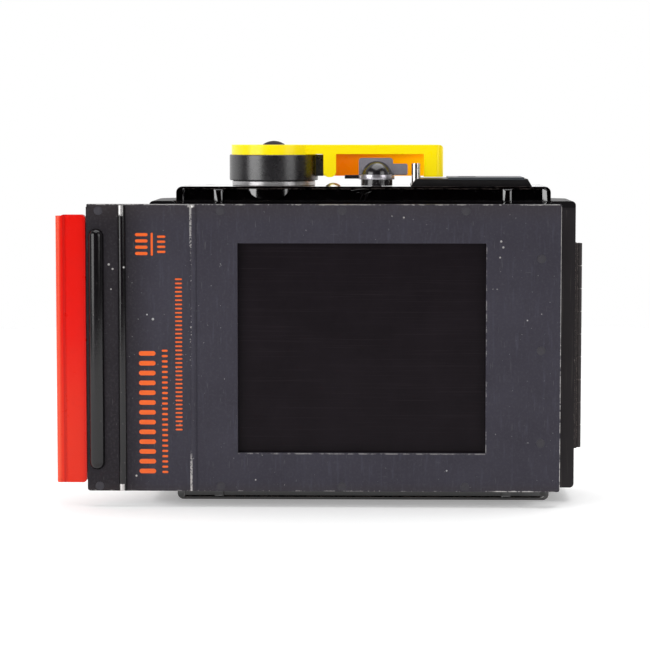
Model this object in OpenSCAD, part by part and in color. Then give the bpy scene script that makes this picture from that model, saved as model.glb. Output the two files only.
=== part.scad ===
// Lever-wind roll film holder for a slide-lock camera back, standing on its long side.
// Origin: centre of the film window, in the plane of the front plate's face.
// +X runs to the hinge end, +Y to the rear, +Z to the winding lever. Millimetres.

/* [Front plate] */
// Reach of the plate from the window's centre to the dark slide end
plate_left = 79; // [78.5:0.1:79.2]
// Reach of the plate from the window's centre to the hinge end
plate_right = 57; // [56:0.1:58]
// Height of the plate between the camera's slide locks
plate_h = 82.6; // [82:0.1:83]
// Thickness of the plate's face sheet
plate_t = 1.6; // [1.5:0.1:1.7]
// Width of the window in the face sheet
window_w = 71.2; // [70.5:0.1:72]
// Height of the window in the face sheet
window_h = 60.4; // [59:0.1:61]
// Height of the slot that the dark slide runs in
channel_t = 1.2; // [1.2:0.1:1.4]
// Thickness of the rear sheet that carries the film aperture
gate_t = 1.8; // [1.6:0.1:2]
// Width of the exposed frame
gate_w = 70; // [69:0.5:70]
// Height of the exposed frame
gate_h = 57.2; // [56:0.2:57.2]

/* [Dark slide] */
// Thickness of the dark slide sheet
slide_t = 0.6; // [0.5:0.05:0.6]
// Height of the dark slide sheet
slide_h = 72; // [68:1:73]
// Outer end of the dark slide's handle
handle_left = 88; // [86:0.5:92]
// Thickness of the folded handle
handle_t = 2.6; // [2.4:0.1:2.8]

/* [Frame and shell] */
// Height of the neck that passes between the slide locks
neck_h = 74.8; // [74:0.1:75]
// Front face of the flange behind the slide locks
flange_y = 13; // [12:0.5:13.2]
// Plane where the front frame and the rear shell part
split_y = 15.8; // [15.6:0.1:16]
// Rear face of the shell
back_y = 45.5; // [45.2:0.1:46]
// Length of flange and shell
shell_w = 124; // [123.6:0.1:124]
// Height of flange and shell
shell_h = 83.8; // [83.4:0.1:84]
// Wall of the shell at its rim, ends and sides
shell_wall = 2.6; // [2.4:0.1:2.6]
// Radius of the shell's rear corners
shell_r = 9; // [8:0.5:9]
// Length of the two side covers
cover_w = 109.3; // [109:0.1:110]
// Height that each side cover adds to the shell
cover_h = 4.15; // [4.1:0.05:4.2]

/* [Winding] */
// Place of the winding hub along the holder
hub_x = -26.45; // [-26.6:0.05:-26.3]
// Radius of the lever's drum
drum_r = 13.15; // [13:0.05:13.4]
// Far end of the lever arm
arm_right = 23.8; // [23:0.1:24.2]
// Top of the lever
lever_top = 58.1; // [58:0.1:58.4]
// Distance of each spool's axis from the window's centre
spool_x = 46.6; // [46.5:0.1:46.7]
// Radius of a spool flange
spool_r = 12.5; // [12:0.1:12.6]
// Gear module
gear_m = 0.7; // [0.7:0.01:0.7]

/* [Hidden] */
$fn = 48;
eps = 0.1;
ph = plate_h / 2;
sh = shell_h / 2;
sw = shell_w / 2;
cw = cover_w / 2;
channel_y = plate_t;
gate_y = plate_t + channel_t;
neck_y = gate_y + gate_t;
slide_y = channel_y + (channel_t - slide_t) / 2;
slide_mid = slide_y + slide_t / 2;
slide_right = 46;
channel_h = 37;
channel_right = 47;
handle_right = plate_left + 0.3;
handle_z = [-39, 38.3];
neck_x = [-57, 52];
neck_wall = 1.8;
groove_y = 14.4;
groove_in = [59.1, 38.9];
groove_out = [60.9, 40.5];
tongue_in = [59.5, 39.3];
tongue_out = [60.5, 40.1];
tongue_y = 14.9;
back_wall = 1.5;
cover_z = sh + cover_h;
cover_skin = 1;
cover_in_y = [18.2, 44.3];
// The covers stand a little nearer the hinge end
cover_shift = 0.28;
// Countersunk screws in the top cover, their heads and depth
flush_screws = [[-51, 22], [52.2, 24], [-46, 41], [52.2, 38.5]];
flush_r = 1.5;
flush_t = 0.6;
// Domed screw in front of the lever
dome_r = 2.25;
dome_h = 0.95;
pocket_y = 17.4;
pocket_z = [40.9, 45.35];
// How fast the mouth of a pocket widens: depth over width
lip = 0.7;
// Between the wings the flange is lower, and the covers' skirts reach down to it
notch_x = 54.5;
notch_z = 40.9;
skirt_y = 18.2;
// Each pocket's side walls along X: mouth, floor, floor, mouth
pockets = [[-52.53, -52.19, -43.51, -42.67], [-41.3, -40.78, 41.02, 41.67],
    [43.07, 43.79, 52.53, 53.73]];
hub_y = 31.2;
hub = [hub_x, hub_y];
rivet_r = 1.25;
rivets = concat(
    [for (x = [-75.5, -40.5, -5.6, 29.7], z = [-39.9, 39.5]) [x, z]],
    [for (z = [-27.2, -0.5, 25.8]) [51.4, z]]);
rib_1_x = -68.75;
rib_2_x = -48.2;
bead_x = -76.15;
bead_z = [-35.3, 34.5];
bead_r = 2.35;
hinge_axis = [63.15, split_y];
knuckle_r = 1;
knuckles = 9;
knuckle_z = [-30.3, 29.7];
knuckle_gap = 0.12;
hinge_leaf_t = 0.7;
pin_r = 0.5;
run_gap = 0.05;
chassis_z = [33.5, 34.7];
roller = [38.2, 8.6];
roller_r = 2.6;
press_y = [5.7, 6.9];
bridge_y = [10.2, 11.4];
guide_pins = [for (x = [-24, 24], z = [-20, 20]) [x, z]];
spool_z = 32.8;
spool_pin_r = 2.4;
knob_z = [35, 36.2];
shaft_r = 2;
post_r = 1;
reset_at = [4.2, 23.5];
stop_pin_at = [15.75, 22.6];
stop_pin_r = 1.35;
// Ends of the counter housing along X: at its foot, then at its top
counter_foot = [14.17, 49.65];
counter_head = [15.57, 48.41];
counter_top = 48.19;
counter_plate_x = [25.13, 47.41];
counter_plate_z = [47.9, 48.65];
counter_y = [19.5, 42.5];
counter_plate_y = 39.5;
window_at = [[28.45, 33.75], [28, 34.4]];
// The three levels of gears under the top cover, lowest first
level = [[42.15, 42.9], [43.1, 43.9], [44.05, 44.75]];
// Teeth of each gear
t_hub = 34;
t_idler = 12;
t_takeup = 14;
t_count_1 = 30;
t_count_1p = 12;
t_count_2 = 26;
t_count_2p = 10;
t_dial = 32;
takeup_at = [-spool_x, hub_y];
function centre(a, b) = gear_m * (a + b) / 2;
count_1_at = [hub_x + centre(t_hub, t_count_1), hub_y];
count_2_at = [count_1_at.x + centre(t_count_1p, t_count_2), hub_y];
dial_at = [count_2_at.x + centre(t_count_2p, t_dial), hub_y];
// The take-up idler sits where its two centre distances meet
span = hub_x - takeup_at.x;
reach_1 = centre(t_hub, t_idler);
reach_2 = centre(t_idler, t_takeup);
along = (reach_1 * reach_1 - reach_2 * reach_2 + span * span) / (2 * span);
idler_at = [hub_x - along, hub_y - sqrt(reach_1 * reach_1 - along * along)];
function bearing(a, b) = atan2(b.y - a.y, b.x - a.x);
// Angle of a tooth on the driven gear so that a gap faces the driver's tooth
function mesh(dir, n1, phase, n2) = dir + 180 - (n1 / n2) * (phase - dir) + 180 / n2;
idler_phase = mesh(bearing(hub, idler_at), t_hub, 0, t_idler);
takeup_phase = mesh(bearing(idler_at, takeup_at), t_idler, idler_phase, t_takeup);
count_1_phase = mesh(0, t_hub, 0, t_count_1);
count_2_phase = mesh(0, t_count_1p, 0, t_count_2);
dial_phase = mesh(0, t_count_2p, 0, t_dial);

// ---- Shared shapes ----

// A box between two corners
module slab(x, y, z) {
    translate([x[0], y[0], z[0]])
        cube([x[1] - x[0], y[1] - y[0], z[1] - z[0]]);
}

// A rectangle with round corners in the drawing plane
module round_rect(x, z, r) {
    translate([x[0] + r, z[0]]) square([x[1] - x[0] - 2 * r, z[1] - z[0]]);
    translate([x[0], z[0] + r]) square([x[1] - x[0], z[1] - z[0] - 2 * r]);
    for (cx = [x[0] + r, x[1] - r], cz = [z[0] + r, z[1] - r])
        translate([cx, cz]) circle(r);
}

// Anything drawn as (x, z), thickened from y[0] to y[1]
module upright(y) {
    translate([0, y[1], 0]) rotate([90, 0, 0]) linear_extrude(y[1] - y[0]) children();
}

// A round-cornered plate that faces the camera
module face_slab(x, y, z, r) {
    upright(y) round_rect(x, z, r);
}

// A round bar along Y
module bar_y(at, r, y) {
    translate([at[0], y[1], at[1]]) rotate([90, 0, 0]) cylinder(h = y[1] - y[0], r = r);
}

// A round bar along Z
module bar_z(at, r, z) {
    translate([at[0], at[1], z[0]]) cylinder(h = z[1] - z[0], r = r);
}

// Plan of the shell: square at the front, round at the rear corners
module shell_plan(half, y, r) {
    translate([-half, y[0]]) square([2 * half, y[1] - y[0] - r]);
    translate([-half + r, y[0]]) square([2 * (half - r), y[1] - y[0]]);
    for (side = [-1, 1])
        translate([side * (half - r), y[1] - r]) circle(r);
}

// A rectangular ring that faces the camera, given by its half sizes
module face_ring(inner, outer, y) {
    difference() {
        slab([-outer[0], outer[0]], y, [-outer[1], outer[1]]);
        slab([-inner[0], inner[0]], [y[0] - eps, y[1] + eps], [-inner[1], inner[1]]);
    }
}

// Involute angle, in degrees, at a roll angle
function involute(roll) = roll - atan(roll * PI / 180);
function roll_at(r, base) = sqrt(max(0, (r / base) * (r / base) - 1)) * 180 / PI;

// One spur gear: thinned, shortened involute teeth with room to run
module gear(teeth, z, bore, phase) {
    pitch = gear_m * teeth / 2;
    base = pitch * cos(25);
    tip = pitch + 0.8 * gear_m;
    root = pitch - 1.15 * gear_m;
    half_pitch = 90 / teeth - 0.05 / pitch * 180 / PI;
    half_base = half_pitch + involute(roll_at(pitch, base));
    radii = [max(base, root), (max(base, root) + pitch) / 2, pitch, tip];
    flank = concat([[root, half_base]],
        [for (r = radii) [r, half_base - involute(roll_at(r, base))]]);
    outline = [for (i = [0 : teeth - 1])
        for (side = [-1, 1], k = [0 : len(flank) - 1])
            let (p = flank[side < 0 ? k : len(flank) - 1 - k],
                 a = phase + i * 360 / teeth + side * p[1])
            [p[0] * cos(a), p[0] * sin(a)]];
    difference() {
        translate([0, 0, z[0]]) linear_extrude(z[1] - z[0]) polygon(outline);
        bar_z([0, 0], bore, [z[0] - eps, z[1] + eps]);
    }
}

// A helical wire spring along Z, standing on the plane z = 0
module coil(r, wire, turns, height) {
    per_turn = 14;
    sides = 6;
    rings = per_turn * turns;
    climb = height - 2 * wire;
    pts = [for (i = [0 : rings], s = [0 : sides - 1])
        let (a = 360 * turns * i / rings, b = 360 * s / sides, rr = r + wire * cos(b))
        [rr * cos(a), rr * sin(a), wire + climb * i / rings + wire * sin(b)]];
    skin = [for (i = [0 : rings - 1], s = [0 : sides - 1])
        let (n = (s + 1) % sides, low = i * sides, high = low + sides)
        [low + s, high + s, high + n, low + n]];
    ends = [[for (s = [0 : sides - 1]) s],
        [for (s = [sides - 1 : -1 : 0]) rings * sides + s]];
    polyhedron(pts, concat(skin, ends), convexity = 8);
}

// ---- Front frame and plate ----

module front_plate() {
    color("#3b3a3f") difference() {
        union() {
            face_slab([-plate_left, plate_right], [0, plate_t], [-ph, ph], 0.8);
            intersection() {
                union() {
                    bar_z([bead_x, bead_r - 1.7], bead_r, [bead_z[0] + bead_r, bead_z[1] - bead_r]);
                    for (z = [bead_z[0] + bead_r, bead_z[1] - bead_r])
                        translate([bead_x, bead_r - 1.7, z]) sphere(bead_r);
                    bar_z([rib_1_x, 0.3], 1.2, [-ph + 0.3, ph - 0.3]);
                    bar_z([rib_2_x, 0.6], 1.1, [-ph + 0.3, ph - 0.3]);
                }
                slab([-plate_left, 0], [-2, plate_t - eps], [-ph, ph]);
            }
        }
        slab([-window_w / 2, window_w / 2], [-3, plate_t + eps], [-window_h / 2, window_h / 2]);
        slab([-plate_left - 1, -plate_left + 0.8], [-3, plate_t + eps], [ph - 0.7, ph + 1]);
        for (p = rivets) bar_y(p, rivet_r + 0.03, [-1, 0.6]);
    }
}

module plate_rivets() {
    color("#46454a") for (p = rivets) bar_y(p, rivet_r, [0.02, 0.6]);
}

module slide_channel() {
    color("#26262a") difference() {
        slab([-plate_left, plate_right], [channel_y, gate_y], [-ph, ph]);
        slab([-plate_left - 1, channel_right], [channel_y - eps, gate_y + eps],
            [-channel_h, channel_h]);
    }
}

module gate_plate() {
    color("#26262a") difference() {
        slab([-plate_left, plate_right], [gate_y, neck_y], [-ph, ph]);
        slab([-gate_w / 2, gate_w / 2], [gate_y - eps, neck_y + eps], [-gate_h / 2, gate_h / 2]);
    }
}

module film_rails() {
    color("silver") for (side = [-1, 1])
        translate([0, 0, side * 30.4])
            slab([-36.5, 36.5], [neck_y, neck_y + 0.6], [-0.8, 0.8]);
}

module light_trap_felt() {
    color("#101010") for (y = [channel_y, gate_y - 0.25])
        slab([-64, -56.5], [y, y + 0.25], [-36.5, 36.5]);
}

module light_trap_cover() {
    color("#26262a") face_slab([-77, -60], [neck_y, neck_y + 0.8], [-33, 33], 1.5);
}

module trap_cover_screws() {
    color("#202020") for (x = [-74.5, -62.5], z = [-29, 0, 29])
        bar_y([x, z], 1.4, [neck_y + 0.8, neck_y + 1.5]);
}

module front_frame() {
    inner_x = [neck_x[0] + neck_wall, neck_x[1] - neck_wall];
    inner_z = neck_h / 2 - neck_wall;
    color("#2c2c30") difference() {
        union() {
            slab(neck_x, [neck_y, flange_y + eps], [-neck_h / 2, neck_h / 2]);
            face_slab([-sw, sw], [flange_y, split_y], [-notch_z, notch_z], 1.2);
            for (x = [[-sw, -notch_x], [notch_x, sw]])
                face_slab(x, [flange_y, split_y], [-sh, sh], 1.2);
        }
        slab(inner_x, [neck_y - eps, split_y + eps], [-inner_z, inner_z]);
        face_ring(groove_in, groove_out, [groove_y, split_y + eps]);
    }
}

module light_seal() {
    color("#101010")
        face_ring(groove_in + [0.05, 0.05], groove_out - [0.05, 0.05], [groove_y, groove_y + 0.3]);
}

module latch_keeper() {
    color("silver") slab([-sw - 1.2, -sw], [13.3, 15.2], [-2.6, 2.4]);
}

// A hinge leaf with the knuckles whose number is odd or even. The leaf stands back from the
// other leaf's knuckles.
module hinge_leaf(first, y_full, y_back) {
    step = (knuckle_z[1] - knuckle_z[0]) / knuckles;
    difference() {
        union() {
            for (i = [first : 2 : knuckles - 1]) {
                z = [knuckle_z[0] + i * step + knuckle_gap / 2,
                    knuckle_z[0] + (i + 1) * step - knuckle_gap / 2];
                bar_z(hinge_axis, knuckle_r, z);
                slab([sw, sw + hinge_leaf_t], y_full, z);
            }
            slab([sw, sw + hinge_leaf_t], y_back, knuckle_z);
        }
        bar_z(hinge_axis, pin_r + run_gap, [-40, 40]);
    }
}

module hinge_leaf_front() {
    color("#4a4440") hinge_leaf(0, [13.2, split_y - 0.1], [13.2, 14.5]);
}

module hinge_leaf_rear() {
    color("#4a4440") hinge_leaf(1, [split_y + 0.1, 25], [17.1, 25]);
}

module hinge_pin() {
    color("#6a625c") bar_z(hinge_axis, pin_r, knuckle_z);
}

// ---- Dark slide ----

module dark_slide_sheet() {
    color("#1b1719") difference() {
        slab([-handle_left + 2.4, slide_right], [slide_y, slide_y + slide_t],
            [-slide_h / 2, slide_h / 2]);
        for (side = [-1, 1])
            translate([slide_right, 0, side * slide_h / 2])
                rotate([0, 45, 0]) slab([-1.5, 1.5], [0, 4], [-1.5, 1.5]);
    }
}

module dark_slide_handle() {
    bend = handle_t / 2;
    color("#e4140f") difference() {
        union() {
            bar_z([-handle_left + bend, slide_mid], bend, [handle_z[0], handle_z[1] - 0.3]);
            for (y = [slide_mid - bend, slide_y + slide_t])
                face_slab([-handle_left + bend, -handle_right], [y, y + bend - slide_t / 2],
                    handle_z, 1.1);
        }
        slab([-85.2, -84.9], [0, slide_mid - bend + 0.15], [-50, 50]);
        slab([-handle_left + 2.4, -handle_right + 1], [slide_y, slide_y + slide_t],
            [-slide_h / 2, slide_h / 2]);
    }
}

// ---- Rear shell ----

module shell_body() {
    color("#161618") difference() {
        union() {
            intersection() {
                translate([0, 0, -sh]) linear_extrude(shell_h)
                    shell_plan(sw, [split_y, back_y], shell_r);
                face_slab([-sw, sw], [split_y, back_y], [-sh, sh], 1.2);
            }
            face_ring(tongue_in, tongue_out, [tongue_y, split_y + eps]);
        }
        translate([0, 0, -sh + shell_wall]) linear_extrude(shell_h - 2 * shell_wall)
            shell_plan(sw - shell_wall, [split_y - 2, back_y - back_wall], shell_r - shell_wall);
        bar_z(hub, shaft_r + run_gap, [40.4, sh + eps]);
        bar_z(takeup_at, shaft_r + run_gap, [30, sh + eps]);
        skirt(0.02);
        mirror([0, 0, 1]) skirt(0.02);
    }
}

module back_panel() {
    color("#1c1b1c") face_slab([-50, 50], [back_y, back_y + 0.5], [-38.5, 38.5], 4);
}

// One pocket, wider at its mouth than at its floor
module pocket(x) {
    intersection() {
        face_slab([x[0], x[3]], [split_y - eps, pocket_y], pocket_z, 0.7);
        translate([0, 0, pocket_z[0]]) linear_extrude(pocket_z[1] - pocket_z[0])
            polygon([[x[0], split_y - eps], [x[0], split_y], [x[1], split_y + lip * (x[1] - x[0])],
                [x[1], pocket_y], [x[2], pocket_y], [x[2], split_y + lip * (x[3] - x[2])],
                [x[3], split_y], [x[3], split_y - eps]]);
    }
}

// The part of a side cover that reaches down in front of the shell, with room around it
module skirt(gap) {
    slab([cover_shift - cw - gap, cover_shift + cw + gap], [split_y - gap, skirt_y + gap],
        [notch_z - gap, sh + eps]);
}

// A side cover, as the upper one: three pockets in its front wall, open below
module side_cover() {
    difference() {
        union() {
            translate([cover_shift, 0, 0]) intersection() {
                translate([0, 0, sh]) linear_extrude(cover_h)
                    shell_plan(cw, [split_y, back_y], 7);
                face_slab([-cw, cw], [split_y, back_y], [sh - 5, cover_z], 1.8);
            }
            skirt(0);
        }
        translate([0.15, 0, sh - eps]) linear_extrude(cover_h - cover_skin + eps)
            shell_plan(cw - 1.3, cover_in_y, 5.8);
        for (x = pockets) pocket(x);
    }
}

// A low round boss on the floor of the middle pocket, cut off by the pocket's edges
module pocket_boss(x, z, r, rise) {
    intersection() {
        bar_y([x, z], r, [pocket_y - rise, pocket_y + 0.3]);
        slab([x - r - 1, x + r + 1], [split_y, skirt_y], pocket_z);
    }
}

module top_cover() {
    color("#0b0b0c") difference() {
        union() {
            side_cover();
            // The drum's boss is rounded about an upright axis
            intersection() {
                pocket_boss(-27.3, 49.8, 7.9, 1.5);
                bar_z([-27.3, 30.94], 15, [40, 50]);
            }
            pocket_boss(4.2, 48.3, 8.3, 0.5);
            pocket_boss(0.65, 46.2, 2.5, 1.2);
        }
        for (p = flush_screws) bar_z(p, flush_r + 0.03, [cover_z - flush_t, cover_z + eps]);
        bar_z(hub, shaft_r + run_gap + 0.01, [45, cover_z + eps]);
        bar_z(reset_at, 1.55, [45, cover_z + eps]);
        slab(window_at[0], window_at[1], [45, cover_z + eps]);
    }
}

module bottom_cover() {
    color("#0b0b0c") mirror([0, 0, 1]) side_cover();
}

// A slotted screw head that faces up
module screw_head(p, r, z) {
    difference() {
        bar_z(p, r, z);
        slab([p.x - r - 1, p.x + r + 1], [p.y - 0.25, p.y + 0.25], [z[1] - 0.3, z[1] + 1]);
    }
}

module cover_screws() {
    dome_at = [-8.6, 22.5];
    dome_z = cover_z + dome_h - (pow(dome_r, 2) + pow(dome_h, 2)) / (2 * dome_h);
    color("#8d8d92") {
        intersection() {
            screw_head(dome_at, dome_r, [cover_z, cover_z + dome_h]);
            translate([dome_at.x, dome_at.y, dome_z]) sphere(cover_z + dome_h - dome_z);
        }
        for (p = flush_screws) screw_head(p, flush_r, [cover_z - flush_t, cover_z - 0.02]);
    }
}

module hub_washer() {
    color("silver") difference() {
        bar_z(hub, drum_r - 0.8, [cover_z, cover_z + 1.4]);
        bar_z(hub, shaft_r + run_gap + 0.01, [cover_z - eps, cover_z + 2]);
    }
}

module counter_housing() {
    color("#111113") difference() {
        upright(counter_y) polygon([[counter_foot[0], cover_z], [counter_foot[1], cover_z],
            [counter_head[1], counter_top], [counter_head[0], counter_top]]);
        slab(window_at[0], window_at[1], [cover_z - eps, counter_top + eps]);
        slab(counter_plate_x, [counter_y[0] - 1, counter_plate_y], [counter_plate_z[0], 50]);
        bar_z(stop_pin_at, stop_pin_r + 0.1, [cover_z - eps, counter_top + eps]);
    }
}

module counter_plate() {
    color("#3a3d42") difference() {
        slab(counter_plate_x, [counter_y[0] - 0.15, counter_plate_y], counter_plate_z);
        slab(window_at[0], window_at[1], [counter_plate_z[0] - eps, counter_plate_z[1] + eps]);
    }
}

module counter_window() {
    color("lightgrey") slab(window_at[0], window_at[1],
        [counter_plate_z[0] - 0.6, counter_plate_z[1] - 0.2]);
}

module stop_pin() {
    color("silver") bar_z(stop_pin_at, stop_pin_r, [cover_z, 52.75]);
}

module gear_posts() {
    color("silver") for (p = [idler_at, count_1_at, count_2_at, dial_at])
        bar_z(p, post_r, [sh, 44.85]);
}

// One side plate of the spool chassis, as the upper one
module chassis_side() {
    difference() {
        translate([0, 0, chassis_z[0]]) linear_extrude(chassis_z[1] - chassis_z[0])
            polygon([[-59.1, 17.2], [-41.5, 17.2], [-41.5, 6.3], [41.5, 6.3], [41.5, 17.2],
                [59.1, 17.2], [59.1, 38.4], [54, 43.7], [-54, 43.7], [-59.1, 38.4]]);
        for (side = [-1, 1]) {
            bar_z([side * spool_x, hub_y], spool_pin_r + run_gap, [30, 36]);
            bar_z([side * roller.x, roller.y], post_r + run_gap, [30, 36]);
        }
    }
}

module chassis_top() {
    color("#3a3a3e") chassis_side();
}

module chassis_bottom() {
    color("#3a3a3e") mirror([0, 0, 1]) chassis_side();
}

// The folded plate between the spool chambers, which backs the pressure plate
module chassis_bridge() {
    z = [-chassis_z[0], chassis_z[0]];
    color("#303034") difference() {
        union() {
            slab([-33.4, 33.4], bridge_y, z);
            for (side = [-1, 1])
                translate([side * 32.8, 0, 0]) slab([-0.6, 0.6], [bridge_y[0], 43.6], z);
        }
        for (p = guide_pins) bar_y(p, 1.05, [bridge_y[0] - 1, bridge_y[1] + 1]);
    }
}

module latch_screws() {
    color("silver") for (z = [-10, 10]) {
        translate([-sw - 1.5, 21, z]) rotate([0, 90, 0]) cylinder(h = 1.5, r = 0.9);
        translate([-sw - 2.3, 21, z]) rotate([0, 90, 0]) cylinder(h = 0.8, r = 2);
    }
}

module return_spring() {
    color("grey") translate([hub_x, hub_y, cover_z + 1.3]) coil(8, 0.45, 3, 5.2);
}

module pressure_springs() {
    color("grey") for (p = guide_pins)
        translate([p[0], bridge_y[0], p[1]]) rotate([90, 0, 0])
            coil(2, 0.25, 3, bridge_y[0] - press_y[1]);
}

// The spring behind one spool pin, in the gap between its knob and the shell
module pin_spring() {
    color("grey") coil(3.2, 0.25, 3, sh - shell_wall - knob_z[1]);
}

module supply_spring_top() {
    translate([spool_x, hub_y, knob_z[1]]) pin_spring();
}

module supply_spring_bottom() {
    mirror([0, 0, 1]) supply_spring_top();
}

module takeup_spring() {
    translate([-spool_x, hub_y, -sh + shell_wall]) pin_spring();
}

// ---- Winding lever ----

module winding_lever() {
    arm_y = [23.2, 36.2];
    ceiling = 55.4;
    color("#ffe000") difference() {
        union() {
            bar_z(hub, drum_r - 0.6, [55.2, lever_top]);
            intersection() {
                union() {
                    slab([hub_x, arm_right], arm_y, [ceiling, lever_top]);
                    slab([-12, arm_right], [arm_y[1] - 1.7, arm_y[1]], [48.8, lever_top]);
                    slab([18.1, arm_right], arm_y, [48.7, lever_top]);
                    face_slab([-11.5, -7.8], [arm_y[0], arm_y[0] + 3.6], [48.6, 57], 1.6);
                }
                face_slab([-40, arm_right], [20, 40], [40, lever_top], 1.2);
                linear_extrude(70) round_rect([-40, arm_right], arm_y, 2.4);
            }
        }
        bar_z(hub, shaft_r + 0.02, [50, 60]);
    }
}

module lever_drum() {
    color("#1a1a1c") difference() {
        union() {
            bar_z(hub, drum_r, [47.6, 55.2]);
            slab([-15.5, -11.6], [27, 30], [48.9, 55.2]);
        }
        difference() {
            bar_z(hub, drum_r - 2.4, [47, 53.6]);
            bar_z(hub, 3.6, [46, 54]);
        }
        bar_z(hub, shaft_r + 0.02, [46, 60]);
    }
}

module lever_screw() {
    head_r = 3.4;
    head_h = 1.15;
    ball = (head_r * head_r + head_h * head_h) / (2 * head_h);
    color("#1d1d1f") difference() {
        intersection() {
            translate([hub_x, hub_y, lever_top + head_h - ball]) sphere(ball);
            bar_z(hub, head_r, [lever_top, lever_top + 2]);
        }
        slab([hub_x - 4, hub_x + 4], [hub_y - 0.35, hub_y + 0.35], [lever_top + 0.6, lever_top + 2]);
    }
}

module winding_shaft() {
    color("silver") bar_z(hub, shaft_r, [40.5, lever_top]);
}

module winding_gear() {
    color("goldenrod") translate([hub.x, hub.y, 0]) gear(t_hub, level[0], shaft_r + 0.02, 0);
}

// ---- Take-up drive and counter ----

module takeup_idler() {
    color("goldenrod") translate([idler_at.x, idler_at.y, 0])
        gear(t_idler, level[0], post_r + run_gap, idler_phase);
}

module takeup_gear() {
    color("goldenrod") translate([takeup_at.x, takeup_at.y, 0])
        gear(t_takeup, level[0], shaft_r + 0.02, takeup_phase);
}

module takeup_shaft() {
    color("silver") {
        bar_z(takeup_at, shaft_r, [30, level[0][1]]);
        slab([takeup_at.x - 3.5, takeup_at.x + 3.5], [takeup_at.y - 0.5, takeup_at.y + 0.5],
            [32, 32.7]);
    }
}

module takeup_spool() {
    color("#222224") difference() {
        union() {
            bar_z(takeup_at, 5.8, [-spool_z, spool_z]);
            for (side = [-1, 1])
                translate([0, 0, side * (spool_z - 0.5)]) bar_z(takeup_at, spool_r, [-0.5, 0.5]);
        }
        for (side = [-1, 1]) translate([0, 0, side * spool_z]) {
            bar_z(takeup_at, spool_pin_r + 0.3, [-5, 5]);
            slab([takeup_at.x - 4, takeup_at.x + 4], [takeup_at.y - 0.8, takeup_at.y + 0.8], [-1, 1]);
        }
    }
}

module counter_idler_1() {
    color("goldenrod") translate([count_1_at.x, count_1_at.y, 0]) {
        gear(t_count_1, level[0], post_r + run_gap, count_1_phase);
        gear(t_count_1p, [level[0][1], level[1][1]], post_r + run_gap, 0);
    }
}

module counter_idler_2() {
    color("goldenrod") translate([count_2_at.x, count_2_at.y, 0]) {
        gear(t_count_2, level[1], post_r + run_gap, count_2_phase);
        gear(t_count_2p, [level[1][1], level[2][1]], post_r + run_gap, 0);
    }
}

module counter_gear() {
    color("goldenrod") translate([dial_at.x, dial_at.y, 0])
        gear(t_dial, level[2], post_r + run_gap, dial_phase);
}

module counter_dial() {
    color("white") difference() {
        bar_z(dial_at, 10, [level[2][1], level[2][1] + 0.15]);
        bar_z(dial_at, post_r + run_gap, [44, 46]);
    }
}

module reset_lever() {
    x = reset_at[0];
    y = reset_at[1];
    color("#0e0e10") {
        bar_z(reset_at, 1.5, [45.15, 46.3]);
        bar_z(reset_at, 4.65, [cover_z + 0.1, 48.1]);
        bar_z(reset_at, 5.25, [48, 49.4]);
        slab([-5.2, x], [y - 1.8, y + 1.8], [48.2, 49.3]);
        intersection() {
            translate([x, y, 48.75]) sphere(4.75);
            slab([-5, 15], [10, 40], [49.2, 56]);
        }
        face_slab([-1.1, 9], [y - 0.9, y + 0.9], [48.4, 54.3], 0.9);
        face_slab([6, 13.3], [y - 0.9, y + 0.9], [49.25, 52.6], 0.5);
    }
}

module latch_bar() {
    x = [-sw - 1.4, -sw - 0.15];
    color("#9a9aa0") difference() {
        union() {
            slab(x, [17.4, 24.6], [-15, 15]);
            slab(x, [11.6, 17.5], [2.8, 9]);
            slab(x, [11.6, 12.9], [2.6, 9]);
            for (z = [-3 : 1.5 : 3]) slab([x[0] - 0.9, x[0] + eps], [18.4, 23.6], [z - 0.4, z + 0.4]);
        }
        slab([x[0] - 1, x[1] + 1], [12.9, 15.8], [2, 6.2]);
        for (z = [-10, 10])
            slab([x[0] - 1, x[1] + 1], [20, 22], [z - 1.05, z + 4.1]);
    }
}

module pressure_plate() {
    color("#2e2e32") face_slab([-35, 35], press_y, [-31, 31], 2);
}

module pressure_guides() {
    color("silver") for (p = guide_pins) bar_y(p, 1, [press_y[1], bridge_y[1] + 1]);
}

// A guide roller that turns on its own stub axles
module guide_roller(side) {
    at = [side * roller.x, roller.y];
    color("#b4b4b8") {
        bar_z(at, roller_r, [-33.2, 33.2]);
        bar_z(at, post_r, [-34.6, 34.6]);
    }
}

module guide_roller_left() {
    guide_roller(-1);
}

module guide_roller_right() {
    guide_roller(1);
}

// A sprung spool pin with its knob, as an upper one
module spool_pin(x) {
    color("silver") {
        bar_z([x, hub_y], spool_pin_r, [31, knob_z[1]]);
        bar_z([x, hub_y], 4.6, knob_z);
    }
}

module supply_pin_top() {
    spool_pin(spool_x);
}

module supply_pin_bottom() {
    mirror([0, 0, 1]) spool_pin(spool_x);
}

module takeup_pin() {
    mirror([0, 0, 1]) spool_pin(-spool_x);
}

front_plate();
plate_rivets();
slide_channel();
gate_plate();
film_rails();
light_trap_felt();
light_trap_cover();
trap_cover_screws();
front_frame();
light_seal();
latch_keeper();
hinge_leaf_front();
hinge_pin();
dark_slide_sheet();
dark_slide_handle();
shell_body();
back_panel();
top_cover();
bottom_cover();
cover_screws();
hinge_leaf_rear();
hub_washer();
counter_housing();
counter_plate();
counter_window();
stop_pin();
gear_posts();
chassis_top();
chassis_bottom();
chassis_bridge();
latch_screws();
return_spring();
pressure_springs();
supply_spring_top();
supply_spring_bottom();
takeup_spring();
winding_lever();
lever_drum();
lever_screw();
winding_shaft();
winding_gear();
takeup_idler();
takeup_gear();
takeup_shaft();
takeup_spool();
counter_idler_1();
counter_idler_2();
counter_gear();
counter_dial();
reset_lever();
latch_bar();
pressure_plate();
pressure_guides();
guide_roller_left();
guide_roller_right();
supply_pin_top();
supply_pin_bottom();
takeup_pin();
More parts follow.
